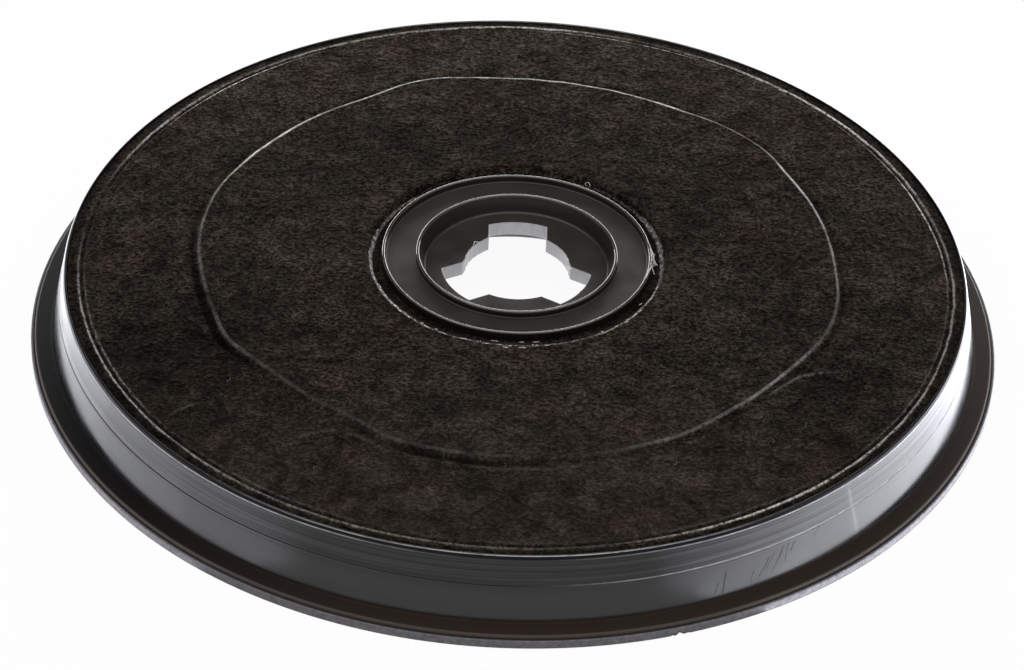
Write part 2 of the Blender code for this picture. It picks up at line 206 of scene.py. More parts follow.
# Three slots and three lands, the two far ones with torn flash, then the nick in the rim
hole_line = []
land_edge = math.degrees(math.asin(LUG_WIDTH / 2 / HOLE_RADIUS))
lug_edge = math.degrees(math.asin(LUG_WIDTH / 2 / LUG_REACH))
for middle in LUG_MIDDLES:
    for k in range(13):
        hole_line.append(polar(LUG_REACH, middle + lug_edge * (k / 6 - 1), PLATE_BOTTOM - 2))
    for k in range(13):
        turn = middle + land_edge + (120 - 2 * land_edge) * k / 12
        flash = {90: LAND_FLASH[k], 330: LAND_FLASH[12 - k] * 0.6}.get(middle, 0)
        hole_line.append(polar(HOLE_RADIUS - flash, turn, PLATE_BOTTOM - 2))
cut_upright(base_moulding, hole_line, PLATE_TOP - PLATE_BOTTOM + 4)
cut_upright(base_moulding, [polar(BASE_RADIUS - depth, turn, -1) for depth, turn in NICK], 1.8)


def lies_between(edge, levels, least, most):
    """Whether an edge lies flat at one of the levels, between two distances from the axis in mm."""
    ends = [base_moulding.data.vertices[i].co / MM for i in edge.vertices]
    reach = [math.hypot(end.x, end.y) for end in ends]
    return {round(end.z, 2) for end in ends} in levels and least < min(reach) and max(reach) < most


# The windows' edges and those of the hole are softened
for levels, least, most, width in (
    (({FLOOR_UNDER}, {FLOOR_TOP}), GRILLE_INNER - 0.5, GRILLE_OUTER + 0.5, WINDOW_EDGE),
    (({PLATE_TOP}, {PLATE_BOTTOM}), 0, LUG_REACH + 0.1, HOLE_EDGE),
):
    pick(base_moulding, "edges", lambda edge: lies_between(edge, levels, least, most))
    bpy.ops.mesh.bevel(offset=width * MM, segments=2, affect="EDGES")
    bpy.ops.object.mode_set(mode="OBJECT")
bpy.ops.object.shade_smooth_by_angle(angle=math.radians(32))
bpy.ops.object.modifier_add(type="WEIGHTED_NORMAL")
base_moulding.modifiers[-1].keep_sharp = True
bpy.ops.object.modifier_apply(modifier=base_moulding.modifiers[-1].name)

# Moulded black polypropylene, satin: a dark body with a broad soft shine, a little uneven where the melt
# cooled. The rim's outer edge carries a painted highlight, painted pale, and the wall of the bayonet hole is
# frosted, so it looks paler.
SATIN_BLACK = "#1f1915"
PALE_RIM_HIGHLIGHT = "#8a878c"
FROSTED_WALL = "#a9a8ac"
MELT_CLOUD_MM = 9
MOULD_GRAIN_MM = 0.8


def linear(code):
    """An sRGB hex colour as the linear colour that a shader takes."""
    shares = [int(code[i:i + 2], 16) / 255 for i in (1, 3, 5)]
    return (*[s / 12.92 if s <= 0.04045 else ((s + 0.055) / 1.055) ** 2.4 for s in shares], 1.0)


def new_material(name):
    """A material with an empty shader, which is returned with it."""
    material = bpy.data.materials.new(name)
    material.use_nodes = True
    return material, material.node_tree.nodes["Principled BSDF"]


def fill(node, inputs):
    """Fills a node's inputs, by name or in order, with values or links. A node stands for its result."""
    if isinstance(inputs, list):
        inputs = dict(zip([n for n, socket in enumerate(node.inputs) if socket.enabled], inputs))
    for name, value in inputs.items():
        if isinstance(value, bpy.types.Node):
            value = next(socket for socket in value.outputs if socket.enabled)
        if isinstance(value, bpy.types.NodeSocket):
            node.id_data.links.new(value, node.inputs[name])
        else:
            node.inputs[name].default_value = value


def add_node(material, kind, settings={}, inputs={}):
    """Adds one shader node with its settings, and fills its inputs."""
    node = material.node_tree.nodes.new("ShaderNode" + kind)
    for name, value in settings.items():
        setattr(node, name, value)
    fill(node, inputs)
    return node


def joined(material, settings, values):
    """Takes several values together with one Math operation, one after the other."""
    result = values[0]
    for value in values[1:]:
        result = add_node(material, "Math", settings, [result, value])
    return result


# Settings that many nodes share. A MapRange is given its value, the range that this comes from and the
# range that it goes to, or else 0 to 1. A Mix is given its share and the two that it mixes.
SMOOTH = {"interpolation_type": "SMOOTHSTEP"}
COLOURS = {"data_type": "RGBA"}
NUMBERS = {"data_type": "FLOAT"}
MINUS, TIMES, TIMES_PLUS, LARGER, SIZE = (
    {"operation": name} for name in ("SUBTRACT", "MULTIPLY", "MULTIPLY_ADD", "MAXIMUM", "ABSOLUTE")
)

polypropylene, shader = new_material("moulded_polypropylene")
place = add_node(polypropylene, "TexCoord").outputs["Object"]
flat = add_node(polypropylene, "VectorMath", TIMES, [place, (1, 1, 0)])
reach = add_node(polypropylene, "VectorMath", {"operation": "LENGTH"}, [flat])
# Painted highlight: the rim's outer edge is painted pale, broken up by noise, with a rougher, weaker shine.
rim_highlight = add_node(polypropylene, "MapRange", SMOOTH, [reach, 119.45 * MM, 119.9 * MM])
cloud = add_node(
    polypropylene, "TexNoise", {},
    {"Vector": place, "Scale": 1 / (MELT_CLOUD_MM * MM), "Detail": 3.0, "Roughness": 0.6},
)
grain = add_node(
    polypropylene, "TexNoise", {}, {"Vector": place, "Scale": 1 / (MOULD_GRAIN_MM * MM), "Detail": 2.0}
)
rim_highlight_noise = add_node(
    polypropylene, "TexNoise", {},
    {"Vector": place, "Scale": 1 / (1.1 * MM), "Detail": 4.0, "Roughness": 0.6},
)
rim_highlight_tone = add_node(polypropylene, "Mix", COLOURS, [rim_highlight_noise, linear("#2e2c2f"), linear(PALE_RIM_HIGHLIGHT)])
tone = add_node(polypropylene, "Mix", COLOURS, [rim_highlight, linear(SATIN_BLACK), rim_highlight_tone])
satin = add_node(polypropylene, "MapRange", {}, [cloud, 0.35, 0.65, 0.32, 0.5])
rough = add_node(polypropylene, "Math", TIMES_PLUS, [rim_highlight, 0.3, satin])
height = add_node(polypropylene, "SeparateXYZ", {}, [place]).outputs["Z"]
crest = add_node(polypropylene, "MapRange", SMOOTH, [height, 22.3 * MM, 22.5 * MM])
rough = add_node(polypropylene, "Math", TIMES_PLUS, [crest, -0.27, rough])
relief = add_node(polypropylene, "Bump", {}, {"Height": grain, "Strength": 0.5, "Distance": 0.06 * MM})
level = add_node(polypropylene, "MapRange", {}, [rim_highlight, 0, 1, 0.5, 0.3])
fill(shader, {
    "Base Color": tone, "Roughness": rough, "Normal": relief, "IOR": 1.49,
    "Specular IOR Level": level, "Coat Weight": crest, "Coat Roughness": 0.06, "Coat IOR": 1.7,
})

frosted, shader = new_material("frosted_cut_polypropylene")
place = add_node(frosted, "TexCoord").outputs["Object"]
streak = add_node(frosted, "Mapping", {}, {"Vector": place, "Scale": (1, 1, 0.25)})
scrape = add_node(frosted, "TexNoise", {}, {"Vector": streak, "Scale": 1 / (0.6 * MM), "Detail": 3.0})
tone = add_node(frosted, "Mix", COLOURS, [scrape, linear("#858488"), linear(FROSTED_WALL)])
fill(shader, {"Base Color": tone, "Roughness": 0.5, "IOR": 1.49})

base_moulding.data.materials.append(polypropylene)
base_moulding.data.materials.append(frosted)
for face in base_moulding.data.polygons:
    x, y, z = face.center / MM
    in_hole = math.hypot(x, y) < 18.8 and PLATE_BOTTOM + 0.02 < z < PLATE_TOP - 0.02
    face.material_index = 1 if in_hole else 0
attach(base_moulding, "root")
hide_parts("base_grille")

# Outer ring: a second moulding in glossier black plastic, with a wide flange that drops into the base's
# rim, a wall that leans in to a thin lip, and a ledge inside the lip that the felt is welded to.
RING_STEPS = 360
WALL_STEP = 12.4
LIP_CORNER = 18.75
LIP_TOP = 19.85
ring_section = [
    (113.035, 1.3, 0), (119.1, 1.3, 0.15), (119.1, 3.06, 0.7), (114.7, 3.06, 0.5),
    (112.939, WALL_STEP - 0.1, 0.06), (112.789, WALL_STEP + 0.05, 0.06), (111.575, LIP_CORNER, 0.08),
    (111.1, LIP_TOP, 0.25), (110.65, LIP_TOP, 0.18), (110.65, 17.2, 0.2), (105.3, 17.2, 0.3),
    (105.3, 15.2, 0.3), (110.387, 15.2, 0.5),
]
wall_ring = turn_section("wall_ring", ring_section, RING_STEPS)
bpy.ops.object.shade_smooth_by_angle(angle=math.radians(32))

# Polished moulded plastic: near black, with a clear shine that turns the wall white where it is seen
# edge on. Fine lines from the mould's turning run round it above the step, and are faint below.
GLOSS_BLACK = "#171619"
FLANGE_BROWN = "#2a211d"
FLANGE_PAINTED_SHADE = "#080605"
WALL_RADIUS = 113
TREMBLE = 1.2
gloss, shader = new_material("polished_moulded_plastic")
place = add_node(gloss, "TexCoord").outputs["Object"]
split = add_node(gloss, "SeparateXYZ", {}, [place])
lines = add_node(gloss, "Mapping", {}, {"Vector": place, "Scale": (12, 12, 1700)})
turned = add_node(gloss, "TexNoise", {}, {"Vector": lines, "Scale": 1.0, "Detail": 2.0})
turned = add_node(gloss, "MapRange", SMOOTH, [turned, 0.36, 0.64])
upper = add_node(gloss, "MapRange", SMOOTH, [split.outputs["Z"], 10 * MM, 13 * MM, 0.15, 1])
cut_height = add_node(gloss, "Math", TIMES, [turned, upper])
relief = add_node(gloss, "Bump", {}, {"Height": cut_height, "Strength": 0.5, "Distance": 0.03 * MM})
smear = add_node(gloss, "TexNoise", {}, {"Vector": place, "Scale": 1 / (14 * MM), "Detail": 3.0})
shine = add_node(gloss, "MapRange", {}, [smear, 0.3, 0.7, 0.16, 0.26])
turn = add_node(gloss, "Math", {"operation": "ARCTAN2"}, [split.outputs["Y"], split.outputs["X"]])
tremble = add_node(gloss, "TexNoise", {}, {"Vector": place, "Scale": 1 / (3.5 * MM), "Detail": 2.0})


def wall_mark(degrees, height, lean, length, half_width):
    """A straight mark on the wall: where its foot is, its lean per mm of height, and its size in mm."""
    along = add_node(
        gloss, "Math", TIMES_PLUS,
        [turn, WALL_RADIUS * MM, (-math.radians(degrees) * WALL_RADIUS - TREMBLE / 2) * MM],
    )
    along = add_node(gloss, "Math", TIMES_PLUS, [tremble, TREMBLE * MM, along])
    up = add_node(gloss, "Math", MINUS, [split.outputs["Z"], height * MM])
    slid = add_node(gloss, "Math", TIMES_PLUS, [up, -lean, along])
    off = add_node(gloss, "Math", SIZE, [slid])
    across = add_node(gloss, "MapRange", SMOOTH, [off, 0, half_width * MM, 1, 0])
    middle = add_node(gloss, "Math", MINUS, [up, length / 2 * MM])
    size = add_node(gloss, "Math", SIZE, [middle])
    span = add_node(gloss, "MapRange", SMOOTH, [size, length * 0.3 * MM, length * 0.5 * MM, 1, 0])
    return add_node(gloss, "Math", TIMES, [across, span])


# The flange keeps the mould's matt grain, so only the wall above it is polished
body = add_node(gloss, "MapRange", SMOOTH, [split.outputs["Z"], 3.2 * MM, 4.2 * MM])

# Marks on the wall: (degrees, height, lean, length, half width). Scuffs lean to the right and are dull, and
# so is a tear at the wall's foot on the far left. The flow line and the knit line are paler than the wall.
SCUFFS = [
    (-60.6, 4.4, 0.4, 4.0, 0.25), (-59.5, 5.0, 0.7, 5.5, 0.35), (-58.6, 6.6, 0.8, 4.5, 0.25),
    (-57.6, 5.2, 0.6, 6.5, 0.3), (-56.6, 8.0, 0.5, 3.6, 0.4), (-55.9, 6.4, 0.3, 6.0, 0.25),
    (-55.0, 8.6, 0.6, 3.0, 0.35), (-51.9, 9.4, 1.1, 3.0, 0.25), (-64.2, 3.6, 0.2, 7.0, 0.35),
    (-65.2, 4.4, 0.4, 3.4, 0.25),
]
TEAR = [(-168.4, 2.2, -0.3, 4.2, 0.5), (-167.2, 2.2, 0.45, 3.6, 0.45)]
PALE_LINES = [(-44.3, 2.8, -0.14, 17.0, 0.9), (-173.0, 8.0, -0.2, 7.0, 0.6)]
scuffs, torn, pale_lines = (
    joined(gloss, LARGER, [wall_mark(*mark) for mark in marks]) for marks in (SCUFFS, TEAR, PALE_LINES)
)
level = add_node(gloss, "MapRange", {}, [cut_height, 0, 1, 0.5, 0.31])
dulled = add_node(gloss, "Math", TIMES_PLUS, [scuffs, -0.26, level])
dulled = add_node(gloss, "Math", TIMES_PLUS, [torn, -0.6, dulled])
tone = add_node(gloss, "Mix", COLOURS, [pale_lines, linear(GLOSS_BLACK), linear("#47464c")])
# Painted shade: the flange is painted darker toward the left, from its brown at x = -15 mm to near black at x
# = -105 mm.
flange_shade_from_left = add_node(gloss, "MapRange", SMOOTH, [split.outputs["X"], -105 * MM, -15 * MM])
flange_tone = add_node(gloss, "Mix", COLOURS, [flange_shade_from_left, linear(FLANGE_PAINTED_SHADE), linear(FLANGE_BROWN)])
flat = add_node(gloss, "VectorMath", TIMES, [place, (1, 1, 0)])
reach = add_node(gloss, "VectorMath", {"operation": "LENGTH"}, [flat])
# Painted highlight: a paler band is painted along the flange's rounded outer corner.
flange_edge_highlight = add_node(gloss, "MapRange", SMOOTH, [reach, 118.5 * MM, 118.85 * MM])
flange_tone = add_node(gloss, "Mix", COLOURS, [flange_edge_highlight, flange_tone, linear("#4b4541")])
tone = add_node(gloss, "Mix", COLOURS, [body, flange_tone, tone])

# Painted highlights make corners pale: the one under the lip, the lip's top where it is nearest, and the
# wall's step on the +X side
corner_highlight_noise = add_node(
    gloss, "TexNoise", {}, {"Vector": place, "Scale": 1 / (6 * MM), "Detail": 4.0, "Roughness": 0.7}
)
corner_highlight_noise = add_node(gloss, "MapRange", {}, [corner_highlight_noise, 0.35, 0.6, 0.45, 1])


def painted_corner_highlight(height, half_width, value, start, end):
    """How pale a painted highlight makes a corner at this height, where a value grows from start to end."""
    above = add_node(gloss, "Math", MINUS, [split.outputs["Z"], height * MM])
    off = add_node(gloss, "Math", SIZE, [above])
    line = add_node(gloss, "MapRange", SMOOTH, [off, half_width * 0.3 * MM, half_width * MM, 1, 0])
    there = add_node(gloss, "MapRange", SMOOTH, [value, start * MM, end * MM])
    return joined(gloss, TIMES, [line, corner_highlight_noise, there])


sideways = add_node(gloss, "Math", SIZE, [split.outputs["X"]])
corner_highlights = joined(gloss, LARGER, [
    painted_corner_highlight(LIP_CORNER + 0.05, 0.2, sideways, 5, 60),
    painted_corner_highlight(LIP_TOP - 0.13, 0.13, sideways, 75, 15),
    painted_corner_highlight(WALL_STEP, 0.16, split.outputs["X"], 0, 50),
])
top = add_node(
    gloss, "MapRange", SMOOTH, [split.outputs["Z"], (LIP_CORNER + 0.15) * MM, (LIP_CORNER + 0.3) * MM]
)
tone = add_node(gloss, "Mix", COLOURS, [corner_highlights, tone, linear("#b0aeb1")])
shine = add_node(gloss, "Mix", NUMBERS, [body, 0.55, shine])
level = add_node(gloss, "Mix", NUMBERS, [body, 0.1, dulled])
level = add_node(gloss, "Mix", NUMBERS, [top, level, 0.15])
fill(shader, {
    "Base Color": tone, "Specular IOR Level": level, "Normal": relief, "Roughness": shine, "IOR": 1.5,
})
wall_ring.data.materials.append(gloss)
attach(wall_ring, "root")
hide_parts("outer_ring")

# Lower felt: a loose disc of the same needled felt on the grille, which keeps the granules in. It shows
# only through the windows underneath, where the granules press it down a little between the bars.
lower_section = [(39.45, 3.1, 0), (112.0, 3.1, 0), (112.0, 4.6, 0.3), (39.45, 4.6, 0.3)]
lower_cover = turn_section("lower_cover", lower_section, MOULD_STEPS)


def runs_inward(edge):
    """Whether an edge of the disc runs flat from near its rim to near its hub hole."""
    ends = [lower_cover.data.vertices[i].co / MM for i in edge.vertices]
    return round(ends[0].z, 2) == round(ends[1].z, 2) and abs(ends[0].xy.length - ends[1].xy.length) > 20


pick(lower_cover, "edges", runs_inward)
bpy.ops.mesh.subdivide(number_cuts=40)
bpy.ops.object.mode_set(mode="OBJECT")
for vertex in lower_cover.data.vertices:
    if vertex.co.z < 3.2 * MM and 41 * MM < math.hypot(*vertex.co.xy) < 110 * MM:
        vertex.co.z += 0.25 * MM * noise.noise(vertex.co / (7 * MM))
bpy.ops.object.shade_smooth_by_angle(angle=math.radians(50))
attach(lower_cover, "root")
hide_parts("lower_felt")

# Needled polyester felt, brownish black: short crossing fibres, painted as paler streaks over darker gaps,
# partly their own tone and partly a painted highlight on the fibres and painted shade in the gaps. Carding
# has laid most of them along X. A fibre is 0.03 mm thick, which no view shows, so they are drawn as a coarser
# grain with strands 0.3 mm wide over it.
FELT_DARK = "#0f0c0a"
FELT_MID = "#2b2723"
FELT_FIBRE_HIGHLIGHT = "#4a4239"
TUFT_LONG_MM = 0.95
TUFT_WIDE_MM = 0.75
STRAND_LONG_MM = 2.8
STRAND_WIDE_MM = 1.2
FELT_CLOUD_MM = 11


def felt_tufts(material, place):
    """Adds the felt's grain and its crossing fibres, and returns how high they stand."""
    bend = add_node(material, "TexNoise", {}, {"Vector": place, "Scale": 1 / (4 * MM), "Detail": 2.0})
    sway = add_node(
        material, "VectorMath", TIMES_PLUS, [bend.outputs["Color"], (2.4 * MM, 2.4 * MM, 0), place]
    )
    felted = add_node(
        material, "Mapping", {},
        {"Vector": sway, "Scale": [1 / (size * MM) for size in (TUFT_LONG_MM, TUFT_WIDE_MM, TUFT_WIDE_MM)]},
    )
    grain = add_node(
        material, "TexNoise", {}, {"Vector": felted, "Scale": 1.0, "Detail": 4.0, "Roughness": 0.65}
    )
    height = grain
    for turn_degrees in (9, -33, 47):
        laid = add_node(
            material, "Mapping", {},
            {
                "Vector": sway,
                "Rotation": (0, 0, math.radians(turn_degrees)),
                "Scale": [1 / (size * MM) for size in (STRAND_LONG_MM, STRAND_WIDE_MM, STRAND_WIDE_MM)],
            },
        )
        wave = add_node(material, "TexNoise", {}, {"Vector": laid, "Scale": 1.0, "Detail": 1.0})
        off = add_node(material, "Math", MINUS, [wave, 0.5])
        size = add_node(material, "Math", SIZE, [off])
        strand = add_node(material, "MapRange", SMOOTH, [size, 0, 0.045, 0.2, 0])
        height = add_node(material, "Math", TIMES_PLUS, [strand, grain, height])
    return height


lower_fibre, shader = new_material("needled_felt_inner")
place = add_node(lower_fibre, "TexCoord").outputs["Object"]
tufts = felt_tufts(lower_fibre, place)
# The tufts' tops are painted paler and their gaps darker: partly the felt's own tone, partly painted
# highlight and painted shade.
tone = add_node(lower_fibre, "Mix", COLOURS, [tufts, linear("#0d0b0a"), linear(FELT_MID)])
relief = add_node(lower_fibre, "Bump", {}, {"Height": tufts, "Strength": 0.6, "Distance": 0.2 * MM})
fill(shader, {"Base Color": tone, "Normal": relief, "Roughness": 0.95})
lower_cover.data.materials.append(lower_fibre)

# Carbon bed: about 200 g of crushed activated charcoal, 1 to 3 mm in size, that fills the space between
# the felts. It is shut in on all sides, so its solid from the CAD stays and only takes its finish.
GRANULE_MM = 2
charcoal, shader = new_material("activated_charcoal")
place = add_node(charcoal, "TexCoord").outputs["Object"]
granules = add_node(
    charcoal, "TexVoronoi", {}, {"Vector": place, "Scale": 1 / (GRANULE_MM * MM), "Randomness": 1.0}
)
# Painted shade: each granule is painted darker toward its edges, where the gaps between granules lie.
tone = add_node(charcoal, "Mix", COLOURS, [granules, linear("#1b1b1c"), linear("#050505")])
relief = add_node(
    charcoal, "Bump", {"invert": True}, {"Height": granules, "Strength": 0.9, "Distance": 0.8 * MM}
)
fill(shader, {"Base Color": tone, "Normal": relief, "Roughness": 0.7})
carbon_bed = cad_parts["carbon_bed"]
carbon_bed.data.materials.clear()
carbon_bed.data.materials.append(charcoal)

# Upper felt: the filter's face, cut as one disc and heat sealed to the ring's ledge and to the hub's
# ledge. It stands up as a shallow dome over the granules, with an uneven crease round it where the
# filled middle was pressed, a sealed groove near the rim and a pressed margin at the hub.
FELT_STEPS = 720
RIM_EDGE = 110.35
HUB_EDGE = 33.7
DOME_RISE = 3.4
DOME_RADIUS = 111.35
FELT_THICK = 2.2
MARGIN_TOP = 19.5
HUB_MARGIN_TOP = 20.95
HUB_MARGIN_UNDER = 20.6
SEAL_OUTER = 108.1
SEAL_PITCH = 1.45
SEAL_SWAY = 0.8
PLATEAU = 0.6
PLATEAU_RUN = 22
CREASE_MEAN = 79.3

# How far out the crease lies, every 10 degrees from +X, in mm
CREASE_LINE = [
    78.7, 78.5, 78.7, 79.1, 80.7, 80.2, 79.1, 79.1, 79.3, 79.4, 80.1, 81.1,
    78.9, 78.8, 78.4, 78.5, 79.1, 79.0, 78.5, 77.7, 77.5, 78.2, 76.2, 75.9,
    76.0, 78.4, 78.7, 78.6, 78.6, 78.8, 78.8, 77.9, 77.5, 78.2, 79.9, 79.8,
]
# How strongly its crest shines, by a smoother glaze and a painted highlight, at the same angles
CREASE_GLAZE_HIGHLIGHT = [
    0.3, 0.3, 0.5, 0.7, 0.3, 0.4, 1.0, 0.75, 1.0, 1.0, 0.8, 0.9, 0.8, 0.75, 1.0, 0.8, 0.35, 0.2,
    0.12, 0.09, 0.05, 0.12, 0.05, 0.05, 0.04, 0.05, 0.05, 0.02, 0.02, 0.06, 0.16, 0.18, 0.28, 0.22, 0.1, 0.15,
]
# How deep the hollow outside it is, in mm
CREASE_HOLLOW = [
    0.4, 0.4, 0.4, 0.35, 0.3, 0.2, 0.2, 0.25, 0.25, 0.2, 0.2, 0.25, 0.25, 0.25, 0.25, 0.25, 0.3, 0.4,
    0.6, 0.75, 0.9, 0.85, 0.2, 0.1, 0.2, 0.4, 0.6, 0.45, 0.2, 0.2, 0.3, 0.35, 0.35, 0.3, 0.35, 0.4,
]
# How wide its rounded crest is, in mm
CREASE_ROUND = [
    0.5, 0.5, 0.5, 0.5, 0.5, 0.6, 0.5, 0.5, 0.5, 0.5, 0.5, 0.5, 0.5, 0.5, 0.5, 0.5, 0.6, 0.8,
    0.8, 0.8, 0.8, 0.8, 0.9, 1.0, 1.0, 1.0, 1.1, 1.2, 0.9, 0.8, 0.7, 0.7, 0.7, 0.7, 0.6, 0.5,
]
# How far out the rim's outer seal line lies, in mm, every 15 degrees, how strongly it shines by its glaze and
# a painted highlight, and that of the inner line
SEAL_REACH = [
    107.9, 107.3, 107.1, 106.9, 106.8, 107.0, 107.1, 107.1, 107.2, 107.3, 107.1, 107.2,
    107.6, 107.8, 108.1, 108.3, 108.6, 108.6, 108.7, 108.6, 108.7, 108.6, 108.4, 108.0,
]
OUTER_SEAL = [
    0.3, 0.22, 0.7, 1.0, 0.46, 0.1, 1.0, 0.45, 0.45, 0.2, 0.6, 0.05,
    0.06, 0.36, 0.46, 0.36, 0.22, 0.23, 0.13, 0.12, 0.8, 0.7, 0.43, 0.3,
]
INNER_SEAL = [
    0.2, 0.9, 0.25, 0.1, 0.1, 0.85, 0.05, 0.02, 0.05, 1.0, 0.12, 0.02,
    0.02, 0.15, 0.2, 0.04, 0.08, 0.02, 0.03, 0.02, 0.08, 0.02, 0.12, 0.06,
]
# How strongly the seal at the hub shines, by glaze and a painted highlight, and half its width in mm, every
# 20 degrees
HUB_SEAL = [
    0.5, 0.6, 0.17, 0.12, 0.16, 0.28, 0.2, 0.4, 0.4, 0.7, 1.0, 0.9, 0.4, 0.45, 0.3, 0.36, 0.7, 0.45,
]
HUB_SEAL_WIDTH = [
    0.6, 0.5, 0.3, 0.2, 0.2, 0.2, 0.25, 0.35, 0.45, 0.5, 0.5, 0.4, 0.3, 0.25, 0.25, 0.28, 0.35, 0.5,
]
# How far out the seal at the hub lies, in mm, at the same angles
HUB_SEAL_REACH = [
    35.9, 35.95, 35.9, 35.8, 34.5, 34.3, 34.4, 35.3, 35.5,
    36.0, 36.8, 37.8, 38.3, 38.2, 38.2, 38.2, 37.7, 36.5,
]
# Soft patches of painted shade where the fibres lie away from the light, and of painted light where the
# darkness is below 0: (x, y), how far they reach in mm, and how dark
NAP_SHADE = [
    (-84, -48, 28, 0.5), (-73, -36, 16, 0.2), (39, 17, 18, 0.35), (-38, 43, 13, 0.25), (-3, 46, 16, 0.25),
    (76, -33, 20, 0.3), (77, -58, 18, 0.3), (33, -79, 16, -0.2), (-72, 69, 18, -0.2), (-25, 87, 20, -0.1),
]
# Smaller folds: (radius, degrees) along the crest, with its height and how strongly it shines by glaze and a
# painted highlight
FOLDS = [
    ([(79.2, 318.8), (79.9, 323.1), (81.2, 327.4), (85.8, 331.1), (91.7, 334.0)], 0.3, 0.1),
    ([(90.5, 235.8), (86.1, 237.8), (82.5, 240.2), (81.4, 245.1), (82.5, 249.7)], 0.45, 0.04),
    ([(104.0, 220.2), (100.7, 220.3), (94.9, 220.7)], 0.35, 0.05),
    ([(93.4, 310.5), (96.5, 314.4), (100.0, 317.8)], 0.25, 0.05),
    ([(83.3, 292.5), (85.6, 297.0), (88.4, 301.2)], 0.25, 0.04),
    ([(82.6, 262.0), (83.2, 268.6), (83.0, 276.3), (82.0, 284.0)], 0.2, 0.03),
    ([(77.7, 170.3), (73.4, 168.0), (69.1, 165.6)], -0.2, 0.0),
]


def around(values, degrees):
    """A smooth closed curve through evenly spaced values, read at angles in degrees."""
    place = np.asarray(degrees) / 360 * len(values)
    step = np.floor(place).astype(int)
    part = place - step
    a, b, c, d = [np.take(values, step + k, mode="wrap") for k in (-1, 0, 1, 2)]
    return b + 0.5 * part * (c - a + part * (2 * a - 5 * b + 4 * c - d + part * (3 * (b - c) + d - a)))


def ease(value):
    """Rises smoothly from 0 to 1 as the value does."""
    value = np.clip(value, 0, 1)
    return value * value * (3 - 2 * value)


def hump(distance, width):
    """A bell that is 1 where the distance is 0 and has faded out at about twice the width."""
    return np.exp(-((distance / width) ** 2))


def face_height(radius):
    """Height of the felt's face before it was creased, from the rim's edge to the hub's edge."""
    dome = LIP_TOP + DOME_RISE * (1 - (radius / DOME_RADIUS) ** 2)
    rim = ease((radius - SEAL_OUTER - 0.2) / 1.0)
    hub = 1 - ease((radius - HUB_EDGE - 1.6) / 1.9)
    height = dome * (1 - rim) + MARGIN_TOP * rim
    return height * (1 - hub) + HUB_MARGIN_TOP * hub


def under_height(radius):
    """Height of the felt's underside, which lies 0.3 mm off what it is sealed to."""
    dome = LIP_TOP + DOME_RISE * (1 - (radius / DOME_RADIUS) ** 2) - FELT_THICK
    flat_rim = ease((radius - 104) / 1.2)
    flat_hub = 1 - ease((radius - 38.6) / 2.2)
    height = dome * (1 - flat_rim) + 17.5 * flat_rim
    return height * (1 - flat_hub) + HUB_MARGIN_UNDER * flat_hub


# The section's points lie close together at the seals and the crease, and wider between them
stations = list(np.arange(HUB_EDGE, 39.0, 0.42)) + list(np.arange(39.2, 74.5, 1.25))
stations += list(np.arange(74.8, 84.6, 0.4)) + list(np.arange(85.5, 104.5, 1.25))
stations += list(np.arange(104.9, 110.2, 0.3)) + [RIM_EDGE]
section = [(radius, float(face_height(radius)), 0) for radius in stations]
for radius in (RIM_EDGE, 104.5, 98, 86, 79, 70, 55, 41, 38.6, HUB_EDGE):
    section.append((radius, float(under_height(radius)), 0))
felt_cover = turn_section("felt_cover", section, FELT_STEPS)

spots = np.empty(len(felt_cover.data.vertices) * 3)
felt_cover.data.vertices.foreach_get("co", spots)
spots = spots.reshape(-1, 3) / MM
radius = np.hypot(spots[:, 0], spots[:, 1])
degrees = np.degrees(np.arctan2(spots[:, 1], spots[:, 0])) % 360
on_top = spots[:, 2] > (face_height(radius) + under_height(radius)) / 2
# Points near the crease are moved in or out, so that their rings follow it
crease = around(CREASE_LINE, degrees)
near = np.clip(1 - np.abs(radius - CREASE_MEAN) / 20, 0, 1)
radius = radius + (crease - CREASE_MEAN) * np.minimum(1, 1.35 * near)
turned = np.radians(degrees)
spots[:, 0] = radius * np.cos(turned)
spots[:, 1] = radius * np.sin(turned)

# Distances in mm from each point to the crease and to the nearest small fold
from_crease = radius - crease
fold_gap = np.full(len(radius), 99.0)
fold_glaze = np.zeros(len(radius))
rise = np.zeros(len(radius))
for line, height, glaze in FOLDS:
    corners = np.array([polar(*corner, 0)[:2] for corner in line])
    lengths = np.hypot(*(corners[1:] - corners[:-1]).T)
    walked = np.concatenate([[0], np.cumsum(lengths)]) / lengths.sum()
    gap = np.full(len(radius), 99.0)
    along = np.zeros(len(radius))
    for k in range(len(corners) - 1):
        start, run = corners[k], corners[k + 1] - corners[k]
        share = np.clip(((spots[:, :2] - start) @ run) / (run @ run), 0, 1)
        away = np.hypot(*(spots[:, :2] - start - share[:, None] * run).T)
        closer = away < gap
        gap = np.where(closer, away, gap)
        along = np.where(closer, walked[k] + share * (walked[k + 1] - walked[k]), along)
    fade = ease(along / 0.2) * ease((1 - along) / 0.35)
    rise += height * hump(gap, 1.1) * fade
    nearer = gap < fold_gap
    fold_gap = np.where(nearer, gap, fold_gap)
    fold_glaze = np.where(nearer, glaze * fade, fold_glaze)

